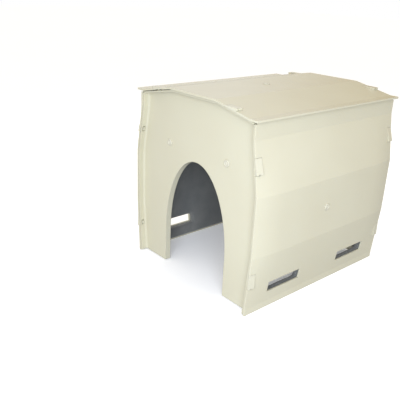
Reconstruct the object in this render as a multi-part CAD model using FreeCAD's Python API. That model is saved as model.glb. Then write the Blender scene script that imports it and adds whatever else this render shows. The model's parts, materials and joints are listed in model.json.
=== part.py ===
import FreeCAD, Part
import math
import os
from FreeCAD import Matrix, Vector

# Snap-together cover for the motor end of a pool pump, in millimetres.
# The cover is open underneath and stands on the bottom edges of its two side panels.
# +X runs along the cover, away from the pump; the pump end is at -X. +Y is the right side, +Z is up.
# The origin is on the ground, at the middle of the cover's length and width.

# ---- driving dimensions ----
PANEL_LENGTH = 434.0            # side panels, end edge to end edge
TOP_HALF_WIDTH = 172.0          # outer face of a side panel under the roof
BULGE = 23.0                    # how far a side panel stands out between its two creases
END_BULGE = 16.0                # the same at its end edges, because both ends curl inwards
CURL = 70.0                     # length of the curl, and the flats that it is made of
CURL_STEPS = 8
FOOT_FLARE = 7.5                # how far its bottom skirt stands out
SKIRT_TOP = 14.0                # heights of a side panel's creases
LOWER_CREASE = 129.0
UPPER_CREASE = 251.0
SHOULDER = 353.0
EAVE_HEIGHT = 390.5             # roof surface at the eaves and on the flat top
RIDGE_HEIGHT = 408.5
SLOPE_FOOT = 160.0              # half widths where the roof slope starts and ends
SLOPE_HEAD = 68.0
SIDE_OVERHANG = 7.5             # roof beyond the side panels, at the sides and at the ends
END_OVERHANG = 4.5
WALL = 3.5
ROOF_SHEET = 4.0
CREASE_RADIUS = 5.0
SEAT_GAP = 0.5                  # between the roof's underside and the side panels
FIT_GAP = 0.5                   # between an end panel's flange and the side panel outside it
ROOF_FIT_GAP = 1.5              # between an end panel's top flange and the roof's underside
END_INSET = 1.5                 # end panel's rim behind the side panels' end edges
END_WALL_INSET = 16.0           # its wall behind them, because the rim turns outwards from the wall
END_BOTTOM = 2.0                # end panel's bottom edge above the ground
CORNER_RADIUS = 5.0             # from the wall to the inside of the rim
ROUND_STEPS = 6                 # flats along that corner
NOTCH = (4.5, 3.5)              # relief at a side panel's top corners, along X and down
CORNER_RELIEF = (164.0, 380.5)  # an end panel's top corners are open beyond this half width and height

ARCH_HALF_WIDTH = 97.5          # opening in the pump end
ARCH_SPRING = 87.0              # height where the arch starts to close
ARCH_TOP = 265.0
ARCH_RIM = 3.0                  # thickness and depth of the rim behind the arch's edge
ARCH_RIM_DEPTH = 14.0
CABLE_HALF_WIDTH = 22.0         # notch for the motor's cable in the rear end
CABLE_SPRING = 33.0
CABLE_TOP = 55.0
BELOW_GROUND = -20.0            # openings are cut from this height

SLOT_LENGTH = 96.0              # ventilation slots
SLOT_BOTTOM = 37.0
SLOT_TOP = 60.0
SIDE_SLOT_CENTRE = 111.5        # centre of a side slot from the middle of the panel
REAR_SLOT_CENTRE = 92.0
FOAM_CUT_MARGIN = 1.0           # foam stands back this far round a slot, and round an arch's rim or notch
FOAM_ARCH_MARGIN = 2.0

FOAM = 12.0                     # liner thickness
FOAM_GAP = 0.4                  # liner to panel
FOAM_END = 184.0                # half length of the side and roof liners
SIDE_FOAM_BOTTOM = 10.0
SIDE_FOAM_TOP = 364.0
ROOF_FOAM_HALF_WIDTH = 158.0
END_FOAM_SIDE = 20.0            # end liner's edge inside the cover's outline
END_FOAM_TOP = 16.0
END_FOAM_BOTTOM = 22.0
RIB = (3.0, 14.0)               # roof's locating ribs: thickness and height
RIB_GAP = 1.0
RIB_HALF_LENGTH = 186.0

TAB_LENGTH = 31.0               # from the tab's root to its free end
TAB_WIDTH = 15.0
TAB_BLADE = 3.0
TAB_HEAD_START = 2.0            # the raised wedge starts here and is highest at the free end
TAB_RISE = {"upper": 3.2, "lower": 3.2, "roof": 5.0}  # that height, by the tab's place
TAB_ROOT_GAP = 0.35
TAB_SIDE_GAP = 0.5
TAB_END_GAP = 0.6
TAB_PEG = (4.5, 8.0)            # catch peg: along X and along the tab
SIDE_PEG_INSET = 5.0            # peg from the tab's open side, on the side panels and on the roof
ROOF_PEG_INSET = 9.5
PEG_PROUD = 1.0                 # peg beyond the flange it catches
TAB_PEG_END = 4.0               # peg from the tab's free end
TAB_PEG_MARGIN = 1.6            # catch hole round the peg
TAB_FINGER = (3.5, 2.0, 1.0)    # finger hole: width, into the tab, into the panel
TAB_FINGER_INSET = 4.5
UPPER_TAB_ROOT = 323.0          # heights of the side tabs' roots
LOWER_TAB_ROOT = 93.0
ROOF_TAB_ROOT = 95.0            # half width of the roof tabs' roots

PIN_HEAD = (7.5, 2.2)           # liner pins: head radius and height
PIN_BUTTON = ((0.0, 0.85), (0.22, 0.85), (0.42, 0.35))  # the head's middle, in shares of both
PIN_RING = ((0.70, 1.0), (0.92, 0.7))  # raised ring round the button, in shares of both
PIN_SHANK = 2.5
PIN_HOLE = 2.8
PIN_PROUD = 4.0                 # shank beyond the washer
WASHER = (11.0, 1.2)            # radius and thickness
WASHER_HOLE = 2.6
WASHER_DISH = 1.5
WASHER_GAP = 0.2                # washer's rim to the foam
PIN_BORE_REACH = 30.0
PIN_X = -12.0                   # liner pins of the roof and the sides
SIDE_PIN_HEIGHT = 190.0
END_PIN = (88.5, 287.5)         # liner pin of an end panel, on the left shoulder

# ---- derived values ----
HALF_LENGTH = PANEL_LENGTH / 2
END_RIM = HALF_LENGTH - END_INSET
END_FACE = HALF_LENGTH - END_WALL_INSET
ROOF_HALF_LENGTH = HALF_LENGTH + END_OVERHANG
ROOF_HALF_WIDTH = TOP_HALF_WIDTH + SIDE_OVERHANG
BULGE_HALF_WIDTH = TOP_HALF_WIDTH + BULGE
PANEL_TOP = EAVE_HEIGHT - ROOF_SHEET - SEAT_GAP
CUT_START = 100.0               # cuts through the upright walls start at this distance from the middle
FAR = 1000.0                    # well beyond the cover
PLACE_DECIMALS = 2              # places along the cover that agree to this many decimals are one place


def side_line(bulge, top=EAVE_HEIGHT):
    """Right half of the section across the cover, as (y, z) from the ground up, for a bulge."""
    foot, middle = TOP_HALF_WIDTH + FOOT_FLARE, TOP_HALF_WIDTH + bulge
    return [(foot, 0.0), (foot, SKIRT_TOP), (middle, LOWER_CREASE),
            (middle, UPPER_CREASE), (TOP_HALF_WIDTH, SHOULDER), (TOP_HALF_WIDTH, top)]


END_LINE = side_line(END_BULGE)
ROOF_LINE = [(SLOPE_FOOT, EAVE_HEIGHT), (SLOPE_HEAD, RIDGE_HEIGHT)]
LOWER_FACET = 1                 # a side line's facets that carry the tabs, counted from the ground
UPPER_FACET = 3
CURL_DEPTHS = [CURL * step / CURL_STEPS for step in range(CURL_STEPS + 1)]


# ---- outlines ----
def line_meet(p, p_way, q, q_way):
    """Point where two lines, each a point and a direction in the plane, cross."""
    across = p_way[0] * q_way[1] - p_way[1] * q_way[0]
    reach = ((q[0] - p[0]) * q_way[1] - (q[1] - p[1]) * q_way[0]) / across
    return (p[0] + reach * p_way[0], p[1] + reach * p_way[1])


def moved_edge(start, end, distance):
    """A line shifted to the left of its direction by distance."""
    way = (end[0] - start[0], end[1] - start[1])
    length = math.hypot(*way)
    shift = (-way[1] / length * distance, way[0] / length * distance)
    return (start[0] + shift[0], start[1] + shift[1]), way


def inset_polygon(points, insets):
    """Closed counter-clockwise polygon with edge i, from point i to the next, moved inwards by insets[i]."""
    count = len(points)
    edges = [moved_edge(points[i], points[(i + 1) % count], insets[i]) for i in range(count)]
    return [line_meet(*edges[i - 1], *edges[i]) for i in range(count)]


def rounded_wire(points, radii):
    """Closed wire across the cover through (y, z) points, with each corner rounded to its radius."""
    corners = [Vector(0, y, z) for y, z in points]
    count = len(corners)
    runs = []
    for i, corner in enumerate(corners):
        back = (corners[i - 1] - corner).normalize()
        ahead = (corners[(i + 1) % count] - corner).normalize()
        half_angle = back.getAngle(ahead) / 2
        if radii[i] == 0:
            runs.append((corner, None, corner))
            continue
        cut = radii[i] / math.tan(half_angle)
        middle = corner + (back + ahead).normalize() * (radii[i] / math.sin(half_angle) - radii[i])
        runs.append((corner + back * cut, middle, corner + ahead * cut))
    edges = []
    for i, (start, middle, end) in enumerate(runs):
        if middle is not None:
            edges.append(Part.Arc(start, middle, end).toShape())
        edges.append(Part.LineSegment(end, runs[(i + 1) % count][0]).toShape())
    return Part.Wire(edges)


def polygon_at(x, points):
    """Closed straight-edged wire through (y, z) points at a place along the cover."""
    corners = [Vector(x, y, z) for y, z in points]
    return Part.makePolygon(corners + corners[:1])


def block(low, high):
    """Box between two corners."""
    size = [b - a for a, b in zip(low, high)]
    return Part.makeBox(*size, Vector(*low))


def mirrored_x(shape):
    return shape.mirror(Vector(0, 0, 0), Vector(1, 0, 0))


def mirrored_y(shape):
    return shape.mirror(Vector(0, 0, 0), Vector(0, 1, 0))


def offset_line(points, distance):
    """Open line of (y, z) points shifted to its left, with mitred corners."""
    edges = [moved_edge(a, b, distance) for a, b in zip(points, points[1:])]
    start, last = edges[0][0], edges[-1]
    end = (last[0][0] + last[1][0], last[0][1] + last[1][1])
    return [start] + [line_meet(*a, *b) for a, b in zip(edges, edges[1:])] + [end]


def strip_wire(points, thickness):
    """Section of a sheet whose outer face follows an open line of (y, z) points, with rounded creases."""
    crease_radii = [0] + [CREASE_RADIUS] * (len(points) - 2) + [0]
    outline = points + offset_line(points, thickness)[::-1]
    return rounded_wire(outline, crease_radii + crease_radii)


def strip(points, thickness, x_half):
    """Sheet with the same section all along the cover."""
    start = strip_wire(points, thickness).translated(Vector(-x_half, 0, 0))
    return Part.Face(start).extrude(Vector(2 * x_half, 0, 0))


def bulge_at(depth):
    """Bulge of the side panels at a distance from their end edges."""
    left_over = max(0.0, 1 - depth / CURL)
    return BULGE - (BULGE - END_BULGE) * left_over ** 2


def curled_strip(depth_in, thickness, top):
    """Sheet along the right side, curled inwards at both ends, its outer face depth_in behind the cover's."""
    rear = []
    for depth in CURL_DEPTHS:
        line = side_line(bulge_at(depth), top)
        if depth_in:
            line = offset_line(line, depth_in)
        rear.append(strip_wire(line, thickness).translated(Vector(HALF_LENGTH - depth, 0, 0)))
    pump = [wire.translated(Vector(2 * depth - PANEL_LENGTH, 0, 0)) for wire, depth in zip(rear, CURL_DEPTHS)]
    return Part.makeLoft(rear + pump[::-1], True, True)


def point_on_side(height, low_point, high_point):
    """Point at a height on the facet between two section points."""
    share = (height - low_point[1]) / (high_point[1] - low_point[1])
    return (low_point[0] + share * (high_point[0] - low_point[0]), height)


def cover_outline(bottom, bulge):
    """The cover's outer section above a height, with the roof's slopes carried on down to the side panels.

    It runs counter-clockwise from the bottom right.
    """
    line = side_line(bulge)
    foot, head = ROOF_LINE
    eave_corner = line_meet(head, (foot[0] - head[0], foot[1] - head[1]), line[-1], (0, 1))
    right = [point_on_side(bottom, line[1], line[2])] + line[2:-1] + [eave_corner, head]
    left = [(-y, z) for y, z in reversed(right)]
    return right + left


def inset_outline(bottom, bulge, side_inset, roof_inset):
    """The outer section moved in by one distance at the sides and another under the roof."""
    side_edges = 4
    roof_edges = 3
    insets = [side_inset] * side_edges + [roof_inset] * roof_edges + [side_inset] * side_edges + [0.0]
    return inset_polygon(cover_outline(bottom, bulge), insets)


def both_ends(shape):
    """A shape and its mirror image at the other end of the cover."""
    return [shape, mirrored_x(shape)]


def four_corners(shape):
    """A shape and its mirror images at the cover's four corners."""
    return both_ends(shape) + both_ends(mirrored_y(shape))


# ---- snap tabs ----
# A tab is drawn flat: X along the cover with the tab's open side at 0, Y from its root to its free end,
# Z outwards with the panel's outer face at 0. It is then laid on its facet at the rear right corner.
def on_facet(shape, root, way_down, open_side, drop):
    """Lay a flat shape on a facet that runs down from root, with its open side moved inwards by drop."""
    down = Vector(0, *way_down).normalize()
    facet_out = Vector(1, 0, 0).cross(down)
    along = (Vector(TAB_WIDTH, 0, 0) - facet_out * drop).normalize()
    out = along.cross(down)
    place = Vector(open_side, *root) - facet_out * drop
    laid = shape.copy()
    laid.Placement = FreeCAD.Placement(Matrix(along.x, down.x, out.x, place.x,
                                              along.y, down.y, out.y, place.y,
                                              along.z, down.z, out.z, place.z,
                                              0, 0, 0, 1))
    return laid


def finger_hole(low_y, high_y, depth):
    """Finger hole between two distances from the tab's root."""
    high_x = -TAB_FINGER_INSET
    return block((high_x - TAB_FINGER[0], low_y, -depth), (high_x, high_y, depth))


def flat_tab(peg_depth, peg_inset, rise):
    """Blade with a wedge head that rises outside and a catch peg inside."""
    blade = block((-TAB_WIDTH, TAB_ROOT_GAP, -TAB_BLADE), (0, TAB_LENGTH, 0))
    wedge_line = [(TAB_HEAD_START, 0), (TAB_LENGTH, rise), (TAB_LENGTH, 0), (TAB_HEAD_START, 0)]
    wedge_wire = Part.makePolygon([Vector(-TAB_WIDTH, y, z) for y, z in wedge_line])
    wedge = Part.Face(wedge_wire).extrude(Vector(TAB_WIDTH, 0, 0))
    peg_end = TAB_LENGTH - TAB_PEG_END
    peg_low = (-peg_inset - TAB_PEG[0], peg_end - TAB_PEG[1], -peg_depth)
    peg = block(peg_low, (-peg_inset, peg_end, -TAB_BLADE))
    tab = blade.fuse([wedge, peg]).removeSplitter()
    return tab.cut(finger_hole(TAB_LENGTH - TAB_FINGER[1], 2 * TAB_LENGTH, rise + TAB_BLADE))


def flat_tab_window(depth):
    """Space round a tab in the panel that carries it, open at the panel's end edge."""
    free_end = TAB_LENGTH + TAB_END_GAP
    window = block((-TAB_WIDTH - TAB_SIDE_GAP, 0, -depth), (TAB_WIDTH, free_end, depth))
    return window.fuse(finger_hole(TAB_LENGTH, free_end + TAB_FINGER[2], depth))


def flat_catch_hole(peg_depth, peg_inset):
    """Space round a catch peg in the end panel's flange, starting under the panel that carries the tab."""
    peg_end = TAB_LENGTH - TAB_PEG_END
    low = (-peg_inset - TAB_PEG[0] - TAB_PEG_MARGIN, peg_end - TAB_PEG[1] - TAB_PEG_MARGIN, -2 * peg_depth)
    return block(low, (-peg_inset + TAB_PEG_MARGIN, peg_end + TAB_PEG_MARGIN, 0))


def side_seat(root_height, facet):
    """Root point, way down, open side and drop of a tab on a facet of the curled side panel."""
    inner_line = side_line(bulge_at(TAB_WIDTH))
    low, high = inner_line[facet], inner_line[facet + 1]
    middle = root_height - TAB_LENGTH / 2
    curled = point_on_side(middle, END_LINE[facet], END_LINE[facet + 1])
    drop = point_on_side(middle, low, high)[0] - curled[0]
    return point_on_side(root_height, low, high), (low[0] - high[0], low[1] - high[1]), HALF_LENGTH, drop


def roof_seat():
    """Root point, way down, open side and drop of a tab on the roof's slope."""
    foot, head = ROOF_LINE
    way_down = (foot[0] - head[0], foot[1] - head[1])
    share = (ROOF_TAB_ROOT - head[0]) / way_down[0]
    return (ROOF_TAB_ROOT, head[1] + share * way_down[1]), way_down, ROOF_HALF_LENGTH, 0.0


def seated(kind, shape_of):
    """A flat shape, made from the peg's depth and inset, laid at the rear right seat of one kind of tab."""
    if kind == "roof":
        peg = (ROOF_SHEET + ROOF_FIT_GAP + WALL + PEG_PROUD, ROOF_PEG_INSET)
        return on_facet(shape_of(*peg), *roof_seat())
    peg = (WALL + FIT_GAP + WALL + PEG_PROUD, SIDE_PEG_INSET)
    root_height, facet = (UPPER_TAB_ROOT, UPPER_FACET) if kind == "upper" else (LOWER_TAB_ROOT, LOWER_FACET)
    return on_facet(shape_of(*peg), *side_seat(root_height, facet))


def tab_window(kind):
    return seated(kind, lambda depth, inset: flat_tab_window(depth))


# ---- openings ----
def arch(half_width, spring, top, x_low, x_high):
    """Solid of an arched opening: upright sides from below the ground, closed by half an ellipse."""
    centre = Vector(x_low, 0, spring)
    ellipse = Part.Ellipse(Vector(x_low, 0, top), Vector(x_low, half_width, spring), centre)
    crown = Part.ArcOfEllipse(ellipse, -math.pi / 2, math.pi / 2).toShape()
    feet = [Vector(x_low, half_width, spring), Vector(x_low, half_width, BELOW_GROUND),
            Vector(x_low, -half_width, BELOW_GROUND), Vector(x_low, -half_width, spring)]
    wire = Part.Wire([crown] + [Part.LineSegment(a, b).toShape() for a, b in zip(feet, feet[1:])])
    return Part.Face(wire).extrude(Vector(x_high - x_low, 0, 0))


def side_slots(margin):
    """Two ventilation slots through the right side, grown by a margin."""
    half = SLOT_LENGTH / 2 + margin
    slot = block((SIDE_SLOT_CENTRE - half, CUT_START, SLOT_BOTTOM - margin),
                 (SIDE_SLOT_CENTRE + half, FAR, SLOT_TOP + margin))
    return both_ends(slot)


def rear_slots(margin):
    """Two ventilation slots through the rear end, grown by a margin."""
    half = SLOT_LENGTH / 2 + margin
    slot = block((CUT_START, REAR_SLOT_CENTRE - half, SLOT_BOTTOM - margin),
                 (FAR, REAR_SLOT_CENTRE + half, SLOT_TOP + margin))
    return [slot, mirrored_y(slot)]


# ---- liner pins ----
# A pin is drawn upright, with the panel's outer face at Z = 0, and then turned to point out of its panel.
def turned_up(points):
    """Round solid about Z from a closed outline of (radius, height) points."""
    wire = Part.makePolygon([Vector(r, 0, z) for r, z in points + points[:1]])
    return Part.Face(wire).revolve(Vector(0, 0, 0), Vector(0, 0, 1), 360)


def foam_face(sheet):
    """Depth of the liner's inner face below the outer face of its panel."""
    return sheet + FOAM_GAP + FOAM


def upright_pin(sheet):
    """Head with a button inside a raised ring, and a shank with a short point beyond the washer."""
    radius, height = PIN_HEAD
    crown = [(radius * across, height * up) for across, up in PIN_BUTTON + PIN_RING]
    tip = foam_face(sheet) + WASHER[1] + WASHER_DISH + PIN_PROUD
    shank = [(PIN_SHANK, 0), (PIN_SHANK, PIN_SHANK - tip), (PIN_SHANK / 2, -tip), (0, -tip)]
    return turned_up(crown + [(radius, 0)] + shank)


def upright_washer(sheet):
    """Dished washer pushed up the shank against the foam."""
    radius, thickness = WASHER
    rim = -foam_face(sheet) - WASHER_GAP
    bore = rim - WASHER_DISH
    edge = [(radius, rim), (radius, rim - thickness)]
    return turned_up([(WASHER_HOLE, bore)] + edge + [(WASHER_HOLE, bore - thickness)])


def pin_bore():
    return Part.makeCylinder(PIN_HOLE, 2 * PIN_BORE_REACH, Vector(0, 0, -PIN_BORE_REACH))


def turned(shape, direction, place):
    """Turn an upright shape to point along direction, and put it at place."""
    moved = shape.copy()
    moved.Placement = FreeCAD.Placement(place, FreeCAD.Rotation(Vector(0, 0, 1), direction))
    return moved


def on_roof(shape):
    return turned(shape, Vector(0, 0, 1), Vector(PIN_X, 0, RIDGE_HEIGHT))


def on_right_side(shape):
    return turned(shape, Vector(0, 1, 0), Vector(PIN_X, BULGE_HALF_WIDTH, SIDE_PIN_HEIGHT))


def on_rear_end(shape):
    right = turned(shape, Vector(1, 0, 0), Vector(END_FACE, *END_PIN))
    return Part.makeCompound([right, mirrored_y(right)])


# ---- panels ----
def right_side_panel():
    """Wall that stands out between its creases, with slots, tab windows and relieved top corners."""
    notch = block((HALF_LENGTH - NOTCH[0], CUT_START, PANEL_TOP - NOTCH[1]), (FAR, FAR, FAR))
    cuts = side_slots(0) + both_ends(notch)
    cuts += both_ends(tab_window("upper")) + both_ends(tab_window("lower"))
    return curled_strip(0, WALL, PANEL_TOP).cut(cuts + [on_right_side(pin_bore())])


def roof_panel():
    """Creased sheet with a locating rib inside each side panel and four tab windows."""
    right = [(ROOF_HALF_WIDTH, EAVE_HEIGHT)] + ROOF_LINE
    sheet = strip(right + [(-y, z) for y, z in reversed(right)], ROOF_SHEET, ROOF_HALF_LENGTH)
    rib_face = TOP_HALF_WIDTH - WALL - RIB_GAP
    underside = EAVE_HEIGHT - ROOF_SHEET
    rib = block((-RIB_HALF_LENGTH, rib_face - RIB[0], underside - RIB[1]),
                (RIB_HALF_LENGTH, rib_face, underside + ROOF_SHEET / 2))
    roof = sheet.fuse([rib, mirrored_y(rib)]).removeSplitter()
    return roof.cut(four_corners(tab_window("roof")) + [on_roof(pin_bore())])


def round_in(radius, depth):
    """How far a rounded edge stands back from the side at a distance from the flat face it meets."""
    if depth >= radius:
        return 0.0
    return radius - math.sqrt(radius ** 2 - (radius - depth) ** 2)


def rounded_blank(bottom, rim_x, back_x, side_inset, roof_inset, radius):
    """Solid from a rim back to a flat face, curled like the side panels and rounded except at the bottom."""
    turns = [math.pi / 2 * step / ROUND_STEPS for step in range(ROUND_STEPS + 1)]
    places = [back_x + radius * (1 - math.cos(turn)) for turn in turns] + [rim_x]
    places += [HALF_LENGTH - depth for depth in CURL_DEPTHS if back_x < HALF_LENGTH - depth < rim_x]
    wires = []
    for x in sorted({round(x, PLACE_DECIMALS) for x in places}):
        turned_in = round_in(radius, x - back_x)
        bulge = bulge_at(HALF_LENGTH - x)
        points = inset_outline(bottom, bulge, side_inset + turned_in, roof_inset + turned_in)
        wires.append(polygon_at(x, points))
    return Part.makeLoft(wires, True, True)


def end_tray():
    """Blank of an end panel at the rear: a wall with a rim turned outwards along the sides and the top."""
    side_inset = WALL + FIT_GAP
    roof_inset = ROOF_SHEET + ROOF_FIT_GAP
    outer = rounded_blank(END_BOTTOM, END_RIM, END_FACE - WALL, side_inset, roof_inset, CORNER_RADIUS + WALL)
    inner = rounded_blank(END_BOTTOM - WALL, END_RIM + WALL, END_FACE, side_inset + WALL, roof_inset + WALL,
                          CORNER_RADIUS)
    return outer.cut(inner)


def end_panel():
    """End panel at the rear, with catch holes for the tabs and open top corners."""
    panel = end_tray()
    holes = []
    for kind in ("upper", "lower", "roof"):
        hole = seated(kind, flat_catch_hole)
        holes += [hole, mirrored_y(hole)]
    relief = block((CUT_START, *CORNER_RELIEF), (FAR, FAR, FAR))
    return panel.cut(holes + [relief, mirrored_y(relief), on_rear_end(pin_bore())])


def rear_end_panel():
    """Closed end with two ventilation slots and a notch for the motor's cable."""
    notch = arch(CABLE_HALF_WIDTH, CABLE_SPRING, CABLE_TOP, CUT_START, HALF_LENGTH)
    return end_panel().cut(rear_slots(0) + [notch])


def pump_end_panel():
    """End with a tall arch for the pump, its edge stiffened by a rim inside."""
    back = END_FACE - ARCH_RIM_DEPTH
    rim = arch(ARCH_HALF_WIDTH + ARCH_RIM, ARCH_SPRING, ARCH_TOP + ARCH_RIM, back, END_FACE - WALL / 2)
    rim = rim.cut(block((0, -FAR, BELOW_GROUND), (FAR, FAR, END_BOTTOM)))
    opening = arch(ARCH_HALF_WIDTH, ARCH_SPRING, ARCH_TOP, back - WALL, HALF_LENGTH)
    return mirrored_x(end_panel().fuse(rim).removeSplitter().cut(opening))


# ---- foam liners ----
def roof_liner():
    right = [(ROOF_HALF_WIDTH, EAVE_HEIGHT)] + ROOF_LINE
    line = offset_line(right + [(-y, z) for y, z in reversed(right)], ROOF_SHEET + FOAM_GAP)
    room = block((-FOAM_END, -ROOF_FOAM_HALF_WIDTH, 0), (FOAM_END, ROOF_FOAM_HALF_WIDTH, FAR))
    return strip(line, FOAM, HALF_LENGTH).common(room).cut(on_roof(pin_bore()))


def right_side_liner():
    sheet = curled_strip(WALL + FOAM_GAP, FOAM, EAVE_HEIGHT)
    room = block((-FOAM_END, 0, SIDE_FOAM_BOTTOM), (FOAM_END, FAR, SIDE_FOAM_TOP))
    return sheet.common(room).cut(side_slots(FOAM_CUT_MARGIN) + [on_right_side(pin_bore())])


def end_liner():
    """Foam behind the wall of the end panel at the rear, without any opening."""
    face = END_FACE - WALL - FOAM_GAP
    outline = inset_outline(END_FOAM_BOTTOM, bulge_at(HALF_LENGTH - face), END_FOAM_SIDE, END_FOAM_TOP)
    foam = Part.Face(polygon_at(face, outline)).extrude(Vector(-FOAM, 0, 0))
    return foam.cut(on_rear_end(pin_bore()))


def rear_end_liner():
    room = (CABLE_HALF_WIDTH + FOAM_ARCH_MARGIN, CABLE_SPRING, CABLE_TOP + FOAM_ARCH_MARGIN)
    return end_liner().cut(rear_slots(FOAM_CUT_MARGIN) + [arch(*room, CUT_START, HALF_LENGTH)])


def pump_end_liner():
    margin = ARCH_RIM + FOAM_ARCH_MARGIN
    opening = arch(ARCH_HALF_WIDTH + margin, ARCH_SPRING, ARCH_TOP + margin, CUT_START, HALF_LENGTH)
    return mirrored_x(end_liner().cut(opening))


# ---- the cover ----
def tab_nodes():
    """Each tab by name: two on each upright edge of the side panels and one at each end of a roof slope."""
    nodes = {}
    for kind in ("upper", "lower", "roof"):
        tab = seated(kind, lambda depth, inset: flat_tab(depth, inset, TAB_RISE[kind]))
        for side, sided in (("right", tab), ("left", mirrored_y(tab))):
            for end, shape in (("rear", sided), ("pump", mirrored_x(sided))):
                name = side + "_tab_" + end + "_" + kind
                if kind == "roof":
                    name = "roof_tab_" + end + "_" + side
                nodes[name] = shape
    return nodes


def cover():
    """Every piece of the cover by name."""
    side_panel, side_liner = right_side_panel(), right_side_liner()
    nodes = {"roof_panel": roof_panel(),
             "right_side_panel": side_panel,
             "left_side_panel": mirrored_y(side_panel),
             "pump_end_panel": pump_end_panel(),
             "rear_end_panel": rear_end_panel(),
             "roof_liner": roof_liner(),
             "right_side_liner": side_liner,
             "left_side_liner": mirrored_y(side_liner),
             "pump_end_liner": pump_end_liner(),
             "rear_end_liner": rear_end_liner()}
    nodes.update(tab_nodes())
    for piece, upright in (("pin", upright_pin), ("washer", upright_washer)):
        side_piece = on_right_side(upright(WALL))
        end_pieces = on_rear_end(upright(WALL))
        nodes["roof_liner_" + piece] = on_roof(upright(ROOF_SHEET))
        nodes["right_liner_" + piece] = side_piece
        nodes["left_liner_" + piece] = mirrored_y(side_piece)
        nodes["rear_end_liner_" + piece + "s"] = end_pieces
        nodes["pump_end_liner_" + piece + "s"] = mirrored_x(end_pieces)
    return nodes


os.makedirs("parts", exist_ok=True)
for node, shape in cover().items():
    shape.exportStep("parts/" + node + ".step")
    print(node, len(shape.Solids), "solid", shape.isValid(), round(shape.Volume / 1000, 1), "cm3")
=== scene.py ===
"""Looks of the pool-pump motor cover: glossy moulded panels, foam liners, liner pins and washers."""

import json
import math

import bpy
import numpy as np
from mathutils import Matrix, Vector


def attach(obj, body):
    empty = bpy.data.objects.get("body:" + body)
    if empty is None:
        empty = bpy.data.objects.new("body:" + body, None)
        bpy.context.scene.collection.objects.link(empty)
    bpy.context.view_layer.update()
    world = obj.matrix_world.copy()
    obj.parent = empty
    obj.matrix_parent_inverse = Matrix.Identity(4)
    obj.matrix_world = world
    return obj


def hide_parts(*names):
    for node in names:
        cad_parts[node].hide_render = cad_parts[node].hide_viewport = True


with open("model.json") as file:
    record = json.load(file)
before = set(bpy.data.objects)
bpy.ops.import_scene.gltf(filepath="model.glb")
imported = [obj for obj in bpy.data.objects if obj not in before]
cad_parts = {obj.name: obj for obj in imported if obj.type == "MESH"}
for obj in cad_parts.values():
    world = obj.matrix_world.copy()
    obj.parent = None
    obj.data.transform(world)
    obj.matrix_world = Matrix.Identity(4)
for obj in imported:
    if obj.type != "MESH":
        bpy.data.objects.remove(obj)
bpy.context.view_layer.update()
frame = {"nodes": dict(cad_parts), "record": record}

MM = 0.001

# The photograph's viewpoint, worked out from the cover's straight edges.
CAMERA_PLACE = (-0.8818, -0.7914, 0.5997)
CAMERA_YAW = math.radians(41.288)
CAMERA_PITCH = math.radians(21.708)
CAMERA_ROLL = math.radians(2.482)
CAMERA_LENS = 48.47
SENSOR = 36.0

# Studio: even, slightly warm surroundings, a soft box just behind the camera and a weaker one opposite it.
SURROUND_COLOUR = (1.0, 0.953, 0.885)
SURROUND_LIGHT = 0.88
SURROUND_SEEN = 1.0             # strength that the camera sees, so that the background is white
WHITE = (1.0, 1.0, 1.0)
TAN = (0.42, 0.29, 0.10)
MIRROR_STEPS = (0.69, 0.86)     # X of a direction where the mirrored room turns from white to tan
# Each soft box: where it stands, where it points, its side, its power and its colour.
SOFT_BOXES = {
    "front_panel": ((-1.03, -0.89, 0.50), (-0.15, -0.15, 0.20), 0.9, 17.6, (0.774, 0.858, 1.0)),
    "back_panel": ((0.95, 1.15, 0.60), (0.15, 0.15, 0.20), 0.9, 9.0, (1.0, 0.97, 0.92)),
}
FLOOR_HALF = 12.0               # half of the floor's side in metres

# In the finishes below, a noise is given by the size of its features in metres and its detail. A stretch is
# how many times finer it gets along each axis. Steps are the two values between which one tone turns into
# another.

# Studio paper on the floor
FLOOR_COLOUR = (0.93, 0.935, 0.95)
FLOOR_DARKER = 0.985            # share of that colour in its darker patches
FLOOR_PATCHES = (0.6, 2.0)
FLOOR_STEPS = (0.3, 0.7)
FLOOR_BOUNCE = 0.21             # share of the floor's colour in the light that it throws on the cover
FLOOR_SOCKETS = {
    "Roughness": 0.9,
    "Specular IOR Level": 0.1,
    "Emission Color": (*WHITE, 1.0),
    "Emission Strength": 0.25,  # so that the floor stays white far from the soft boxes
}

# Moulded plastic: lighter and darker tone, roughness, and height of the slow waves in the surface.
PLASTICS = {
    "shell": ((0.67, 0.64, 0.49), (0.65, 0.615, 0.465), 0.22, 1.2 * MM),
    "tab": ((0.672, 0.645, 0.505), (0.652, 0.62, 0.48), 0.20, 0.1 * MM),
    "pin": ((0.66, 0.635, 0.51), (0.63, 0.60, 0.475), 0.24, 0.05 * MM),
}
MOTTLE = (0.16, 2.0)
MOTTLE_STEPS = (0.30, 0.70)
SPECKS = (2.6 * MM, 4.0)
SPECK_STEPS = (0.66, 0.74)
SPECK_TONE = 0.82               # share of the darker tone
SPECK_WEIGHT = 0.05
MOULD_EDGE = 1.2 * MM           # radius that sharp edges are eased by
RUBS = (9 * MM, 3.0)            # patches of wear along the edges
RUB_STEPS = (0.40, 0.62)
RUB_LEAST = 0.25                # share of the wear that is left between the patches
RUB_GAIN = 1.10                 # a rubbed tone is the lighter tone times the gain, plus the lift
RUB_LIFT = 0.02
RUB_WEIGHT = 0.15
RUB_ROUGHNESS = 0.12            # what wear adds to the roughness; smudges and scratches add theirs
SMUDGES = (0.09, 3.0)
SMUDGE_STEPS = (0.30, 0.75)
SMUDGE_ROUGHNESS = 0.04
SCRATCHES = (1.0, 2.0)
SCRATCH_STRETCH = (6.0, 6.0, 900.0)
SCRATCH_STEPS = (0.70, 0.76)
SCRATCH_ROUGHNESS = 0.03
SLOW_WAVES = (0.16, 1.0)
PEEL = (2.2 * MM, 2.0)
PEEL_HEIGHT = 0.03 * MM
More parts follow.
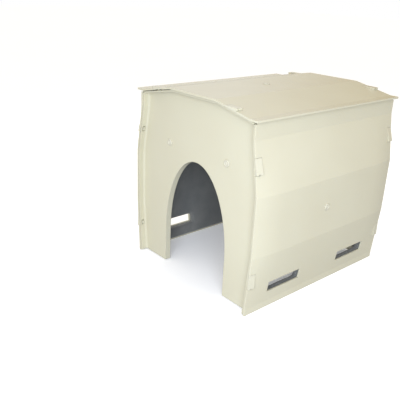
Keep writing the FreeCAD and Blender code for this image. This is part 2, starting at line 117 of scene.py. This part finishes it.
PLASTIC_SOCKETS = {
    "IOR": 1.5,
    "Subsurface Weight": 0.06,
    "Subsurface Radius": (1.0, 0.8, 0.5),
    "Subsurface Scale": 4 * MM,
}

# Zinc plate on the washers
ZINC_EDGE = 0.4 * MM            # radius that sharp edges are eased by
ZINC_EDGE_TONE = (0.72, 0.73, 0.74)
SPANGLE_SIZE = 3 * MM
SPANGLE_STEPS = (0.2, 0.8)
SPANGLE_TONES = ((0.50, 0.51, 0.53), (0.62, 0.63, 0.64))
DRAWN_LINES = (1.0, 2.0)
DRAWN_STRETCH = (150.0, 150.0, 2600.0)
DRAWN_STEPS = (0.3, 0.7)
DRAWN_ROUGHNESS = (0.28, 0.44)
DRAWN_HEIGHT = 0.02 * MM

# Edges of plastic and zinc: an edge counts in full where easing it turns the normal by the angle with the
# first of these cosines, and not at all below the angle with the second.
EDGE_TURN = (0.80, 0.97)
EDGE_SAMPLES = 6

# Open-cell foam
PORES = ((2.4 * MM, 0.6), (1.2 * MM, 0.4))  # size of the pores, and their share of the relief
PORE_STEPS = (0.10, 0.42)
# painted shade: the near-black tone inside each pore stands in for the shade in its hollow
PORE_SHADE_TONE = (0.055, 0.058, 0.056)
PORE_DEPTH = 0.7 * MM
FOAM_FADING = (0.07, 3.0)
FOAM_FADING_STEPS = (0.35, 0.68)
FOAM_TONES = ((0.15, 0.155, 0.15), (0.21, 0.21, 0.195))
FOAM_ROUGHNESS = (1.0, 0.86)    # inside a pore and between pores
FOAM_SOCKETS = {"Sheen Weight": 0.25, "Sheen Roughness": 0.6}

# Shape of the foam liners
FOAM_CELL = 3.0 * MM            # mesh size of a foam liner
FOAM_SOFTENING = 3              # smoothing rounds, which soften its cut edges
FOAM_SWELL = 1.8 * MM           # how far its face rises between the washers
FOAM_WAVE = 0.5 * MM            # unevenness of its face
FOAM_WAVE_LENGTH = 45.0 * MM
WAVE_SPREAD = (0.7, 1.6)        # shares of that length between which the waves differ
WAVE_COUNT = 24
FACING_LEAST = 0.6              # least cosine to the free face's way at which the foam swells
FACING_SPAN = 0.35              # what it takes on top of that for the full swell
WASHER_RADIUS = 11.0 * MM
DIMPLE_WIDTH = 22.0 * MM        # from a washer's rim to the full swell
SEED = 7

# Each liner node with its body and the way its free face looks.
LINERS = {
    "roof_liner": ("roof", (0, 0, -1)),
    "right_side_liner": ("walls", (0, -1, 0)),
    "left_side_liner": ("walls", (0, 1, 0)),
    "rear_end_liner": ("walls", (-1, 0, 0)),
    "pump_end_liner": ("walls", (1, 0, 0)),
}

# Sockets of a Mix node that mixes colours
MIX_FACTOR = 0
MIX_INPUTS = (6, 7)
MIX_RESULT = 2


# ---- node helpers ----
class Graph:
    """Node tree of a material or a world, with short calls for the nodes used here."""

    def __init__(self, owner):
        owner.use_nodes = True
        self.owner = owner
        self.tree = owner.node_tree
        self.coordinates = self.node("ShaderNodeTexCoord").outputs
        self.place = self.coordinates["Object"]

    def node(self, kind, **settings):
        made = self.tree.nodes.new(kind)
        for name, value in settings.items():
            setattr(made, name, value)
        return made

    def link(self, source, target):
        self.tree.links.new(source, target)

    def stretched(self, scale):
        """Object coordinates with a scale of their own along each axis."""
        mapping = self.node("ShaderNodeMapping")
        mapping.inputs["Scale"].default_value = scale
        self.link(self.place, mapping.inputs["Vector"])
        return mapping.outputs["Vector"]

    def noise(self, size, detail, place=None):
        """Noise whose features are about size metres across."""
        made = self.node("ShaderNodeTexNoise")
        made.inputs["Scale"].default_value = 1 / size
        made.inputs["Detail"].default_value = detail
        self.link(place or self.place, made.inputs["Vector"])
        return made.outputs["Fac"]

    def cells(self, size):
        """Outputs of a texture of round cells, each about size metres across."""
        made = self.node("ShaderNodeTexVoronoi", feature="F1")
        made.inputs["Scale"].default_value = 1 / size
        self.link(self.place, made.inputs["Vector"])
        return made.outputs

    def ramp(self, factor, steps, low, high):
        """Low up to the first step of factor and high from the second; a number stands for a grey."""
        made = self.node("ShaderNodeValToRGB")
        for element, position, tone in zip(made.color_ramp.elements, steps, (low, high)):
            element.position = position
            element.color = (tone,) * 3 + (1,) if isinstance(tone, float) else (*tone, 1)
        self.link(factor, made.inputs["Fac"])
        return made.outputs["Color"]

    def mixed(self, factor, a, b):
        """Colour a where factor is 0 and b where it is 1."""
        made = self.node("ShaderNodeMix", data_type="RGBA")
        self.link(factor, made.inputs[MIX_FACTOR])
        for source, socket in zip((a, b), MIX_INPUTS):
            if isinstance(source, tuple):
                made.inputs[socket].default_value = (*source, 1)
            else:
                self.link(source, made.inputs[socket])
        return made.outputs[MIX_RESULT]

    def maths(self, operation, a, b):
        made = self.node("ShaderNodeMath", operation=operation)
        self.link(a, made.inputs[0])
        if isinstance(b, float):
            made.inputs[1].default_value = b
        else:
            self.link(b, made.inputs[1])
        return made.outputs[0]

    def bump(self, height, distance, below=None):
        """Bump of the given height in metres, on top of another bump's normal."""
        made = self.node("ShaderNodeBump")
        made.inputs["Strength"].default_value = 1.0
        made.inputs["Distance"].default_value = distance
        self.link(height, made.inputs["Height"])
        if below is not None:
            self.link(below, made.inputs["Normal"])
        return made.outputs["Normal"]

    def eased(self, radius):
        """Normal that rolls over sharp edges, and a mask that is 1 on those edges."""
        bevel = self.node("ShaderNodeBevel", samples=EDGE_SAMPLES)
        bevel.inputs["Radius"].default_value = radius
        plain = self.node("ShaderNodeNewGeometry")
        turn = self.node("ShaderNodeVectorMath", operation="DOT_PRODUCT")
        self.link(bevel.outputs["Normal"], turn.inputs[0])
        self.link(plain.outputs["Normal"], turn.inputs[1])
        return bevel.outputs["Normal"], self.ramp(turn.outputs["Value"], EDGE_TURN, 1.0, 0.0)


class Finish(Graph):
    """Graph of a new material."""

    def __init__(self, name):
        super().__init__(bpy.data.materials.new(name))
        self.sockets = self.tree.nodes["Principled BSDF"].inputs

    def surface(self, colour, roughness=None, normal=None):
        """Link what changes over the surface."""
        for source, name in ((colour, "Base Color"), (roughness, "Roughness"), (normal, "Normal")):
            if source is not None:
                self.link(source, self.sockets[name])

    def plain(self, values):
        """Set what is the same all over the surface."""
        for name, value in values.items():
            self.sockets[name].default_value = value


# ---- materials ----
def moulded_plastic(name, light, dark, roughness, wave):
    """Glossy moulded sheet: faint mottling, orange peel, slow waves in the sheet and rubbed edges."""
    g = Finish(name)
    rolled, edge = g.eased(MOULD_EDGE)
    body = g.ramp(g.noise(*MOTTLE), MOTTLE_STEPS, dark, light)
    specks = g.ramp(g.noise(*SPECKS), SPECK_STEPS, 0.0, 1.0)
    speckled = g.mixed(g.maths("MULTIPLY", specks, SPECK_WEIGHT), body, tuple(c * SPECK_TONE for c in dark))
    rubbed = tuple(min(1.0, c * RUB_GAIN + RUB_LIFT) for c in light)
    worn = g.maths("MULTIPLY", edge, g.ramp(g.noise(*RUBS), RUB_STEPS, RUB_LEAST, 1.0))
    colour = g.mixed(g.maths("MULTIPLY", worn, RUB_WEIGHT), speckled, rubbed)

    smudges = g.ramp(g.noise(*SMUDGES), SMUDGE_STEPS, roughness, roughness + SMUDGE_ROUGHNESS)
    scratches = g.ramp(g.noise(*SCRATCHES, g.stretched(SCRATCH_STRETCH)), SCRATCH_STEPS, 0.0, 1.0)
    handled = g.maths("ADD", g.maths("MULTIPLY", scratches, SCRATCH_ROUGHNESS), smudges)
    rough = g.maths("ADD", g.maths("MULTIPLY", worn, RUB_ROUGHNESS), handled)

    slow = g.bump(g.noise(*SLOW_WAVES), wave, rolled)
    peel = g.bump(g.noise(*PEEL), PEEL_HEIGHT, slow)
    g.surface(colour, rough, peel)
    g.plain(PLASTIC_SOCKETS)
    return g.owner


def open_cell_foam():
    """Charcoal foam: round pores of two sizes with painted shade inside them, and slow patches of fading."""
    g = Finish("open_cell_foam")
    reliefs = []
    for size, share in PORES:
        pores = g.ramp(g.cells(size)["Distance"], PORE_STEPS, 0.0, 1.0)
        reliefs.append(g.maths("MULTIPLY", pores, share))
    height = g.maths("ADD", *reliefs)
    faded = g.ramp(g.noise(*FOAM_FADING), FOAM_FADING_STEPS, *FOAM_TONES)
    rough = g.ramp(height, (0.0, 1.0), *FOAM_ROUGHNESS)
    # the pores' dark tone is painted shade in their hollows, mixed over the faded foam colour
    g.surface(g.mixed(height, PORE_SHADE_TONE, faded), rough, g.bump(height, PORE_DEPTH))
    g.plain(FOAM_SOCKETS)
    return g.owner


def zinc_plate():
    """Plated steel: soft spangle, fine drawing lines and brighter edges."""
    g = Finish("zinc_plate")
    rolled, edge = g.eased(ZINC_EDGE)
    tone = g.ramp(g.cells(SPANGLE_SIZE)["Color"], SPANGLE_STEPS, *SPANGLE_TONES)
    lines = g.noise(*DRAWN_LINES, g.stretched(DRAWN_STRETCH))
    rough = g.ramp(lines, DRAWN_STEPS, *DRAWN_ROUGHNESS)
    g.surface(g.mixed(edge, tone, ZINC_EDGE_TONE), rough, g.bump(lines, DRAWN_HEIGHT, rolled))
    g.plain({"Metallic": 1.0})
    return g.owner


def pale_floor():
    """Matt studio paper, which throws less light back than its white promises."""
    g = Finish("studio_paper")
    darker = tuple(c * FLOOR_DARKER for c in FLOOR_COLOUR)
    seen = g.ramp(g.noise(*FLOOR_PATCHES), FLOOR_STEPS, darker, FLOOR_COLOUR)
    bounce = tuple(c * FLOOR_BOUNCE for c in FLOOR_COLOUR)
    rays = g.node("ShaderNodeLightPath")
    g.surface(g.mixed(rays.outputs["Is Camera Ray"], bounce, seen))
    g.plain(FLOOR_SOCKETS)
    return g.owner


# ---- CAD nodes ----
def finish_node(name, material):
    """Give a CAD node its material in every slot its mesh has."""
    slots = frame["nodes"][name].data.materials
    if not slots:
        slots.append(material)
    for i in range(len(slots)):
        slots[i] = material


def finish_cad_nodes():
    finishes = {slot: moulded_plastic("almond_" + slot, *look) for slot, look in PLASTICS.items()}
    finishes["washer"] = zinc_plate()
    for part in frame["record"]["subparts"]:
        if part["material_slot"] in finishes:
            finish_node(part["node"], finishes[part["material_slot"]])


# ---- foam ----
def remeshed(node):
    """A new object with the CAD liner's shape in small even faces and softened cut edges."""
    piece = bpy.data.objects.new(node.replace("_liner", "_foam"), frame["nodes"][node].data.copy())
    bpy.context.scene.collection.objects.link(piece)
    cells = piece.modifiers.new("cells", "REMESH")
    cells.mode = "VOXEL"
    cells.voxel_size = FOAM_CELL
    cells.use_smooth_shade = True
    soft = piece.modifiers.new("soft_edges", "SMOOTH")
    soft.iterations = FOAM_SOFTENING
    evaluated = piece.evaluated_get(bpy.context.evaluated_depsgraph_get())
    made = bpy.data.meshes.new_from_object(evaluated)
    piece.modifiers.clear()
    piece.data = made
    return piece


def waves(points, rng):
    """Smooth unevenness between -1 and 1 at each point, as a sum of seeded sine waves."""
    ways = rng.normal(size=(WAVE_COUNT, 3))
    ways /= np.linalg.norm(ways, axis=1)[:, None]
    phases = rng.uniform(0, 2 * math.pi, WAVE_COUNT)
    lengths = FOAM_WAVE_LENGTH * rng.uniform(*WAVE_SPREAD, WAVE_COUNT)
    total = np.sin(points @ (ways.T / lengths * 2 * math.pi) + phases).sum(axis=1)
    return np.clip(total / math.sqrt(WAVE_COUNT), -1, 1)


def washer_centres():
    """Middle of each washer, read from the CAD nodes; an end's two washers lie either side of Y = 0."""
    centres = []
    for part in frame["record"]["subparts"]:
        if part["material_slot"] != "washer":
            continue
        points = np.array([v.co for v in frame["nodes"][part["node"]].data.vertices])
        washers = [points]
        if part["node"].endswith("washers"):
            washers = [points[points[:, 1] > 0], points[points[:, 1] <= 0]]
        centres += [washer.mean(axis=0) for washer in washers]
    return np.array(centres)


def smooth_step(share):
    """Ease a share between 0 and 1 in and out."""
    return share * share * (3 - 2 * share)


def swell(piece, facing, centres, rng):
    """Raise the free face of a foam piece, except where a washer holds it down."""
    mesh = piece.data
    points = np.array([v.co for v in mesh.vertices])
    normals = np.array([v.normal for v in mesh.vertices])
    on_face = np.clip((normals @ np.array(facing) - FACING_LEAST) / FACING_SPAN, 0, 1)
    distance = np.linalg.norm(points[:, None, :] - centres[None, :, :], axis=2).min(axis=1)
    free = smooth_step(np.clip((distance - WASHER_RADIUS) / DIMPLE_WIDTH, 0, 1))
    rise = on_face * free * (FOAM_SWELL + FOAM_WAVE * waves(points, rng))
    mesh.vertices.foreach_set("co", (points + normals * rise[:, None]).ravel())
    mesh.update()


def add_foam():
    """A detailed foam piece in place of each CAD liner."""
    rng = np.random.default_rng(SEED)
    material = open_cell_foam()
    centres = washer_centres()
    for node, (body, facing) in LINERS.items():
        piece = remeshed(node)
        swell(piece, facing, centres, rng)
        piece.data.materials.clear()
        piece.data.materials.append(material)
        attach(piece, body)
        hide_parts(node)


# ---- studio ----
def add_floor():
    corners = [(x, y, 0.0) for x, y in ((-1, -1), (1, -1), (1, 1), (-1, 1))]
    mesh = bpy.data.meshes.new("floor")
    mesh.from_pydata([Vector(c) * FLOOR_HALF for c in corners], [], [(0, 1, 2, 3)])
    mesh.materials.append(pale_floor())
    floor = bpy.data.objects.new("floor", mesh)
    bpy.context.scene.collection.objects.link(floor)


def add_world():
    """Even warm surroundings, seen white by the camera and mirrored by the gloss as a white and tan room."""
    world = bpy.data.worlds.new("studio")
    bpy.context.scene.world = world
    g = Graph(world)
    rays = g.node("ShaderNodeLightPath").outputs
    along = g.node("ShaderNodeSeparateXYZ")
    g.link(g.coordinates["Generated"], along.inputs[0])
    room = g.ramp(along.outputs["X"], MIRROR_STEPS, WHITE, TAN)
    unseen = g.mixed(rays["Is Glossy Ray"], SURROUND_COLOUR, room)
    strength = g.node("ShaderNodeMapRange")
    strength.inputs["To Min"].default_value = SURROUND_LIGHT
    strength.inputs["To Max"].default_value = SURROUND_SEEN
    g.link(rays["Is Camera Ray"], strength.inputs["Value"])
    background = g.tree.nodes["Background"]
    g.link(strength.outputs["Result"], background.inputs["Strength"])
    g.link(g.mixed(rays["Is Camera Ray"], unseen, WHITE), background.inputs["Color"])


def add_soft_boxes():
    """Area lights that the gloss doesn't mirror, so that no view has a blown-out roof."""
    for name, (place, target, side, power, colour) in SOFT_BOXES.items():
        light = bpy.data.lights.new(name, "AREA")
        light.shape = "SQUARE"
        light.size = side
        light.energy = power
        light.color = colour
        lamp = bpy.data.objects.new(name, light)
        bpy.context.scene.collection.objects.link(lamp)
        lamp.location = place
        lamp.rotation_mode = "QUATERNION"
        lamp.rotation_quaternion = (Vector(target) - Vector(place)).to_track_quat("-Z", "Y")
        lamp.visible_glossy = False


def add_camera():
    """Camera at the photograph's viewing angle."""
    yaw, pitch, roll = CAMERA_YAW, CAMERA_PITCH, CAMERA_ROLL
    ahead = Vector((math.sin(yaw) * math.cos(pitch), math.cos(yaw) * math.cos(pitch), -math.sin(pitch)))
    level = Vector((math.cos(yaw), -math.sin(yaw), 0.0))
    down = ahead.cross(level)
    right = math.cos(roll) * level - math.sin(roll) * down
    up = -(math.sin(roll) * level + math.cos(roll) * down)
    turn = Matrix((right, up, -ahead)).transposed()
    data = bpy.data.cameras.new("camera")
    data.lens = CAMERA_LENS
    data.sensor_width = SENSOR
    camera = bpy.data.objects.new("camera", data)
    bpy.context.scene.collection.objects.link(camera)
    camera.matrix_world = Matrix.Translation(CAMERA_PLACE) @ turn.to_4x4()
    bpy.context.scene.camera = camera


bpy.context.scene.view_settings.view_transform = "Standard"
add_camera()
add_world()
add_soft_boxes()
add_floor()
finish_cad_nodes()
add_foam()
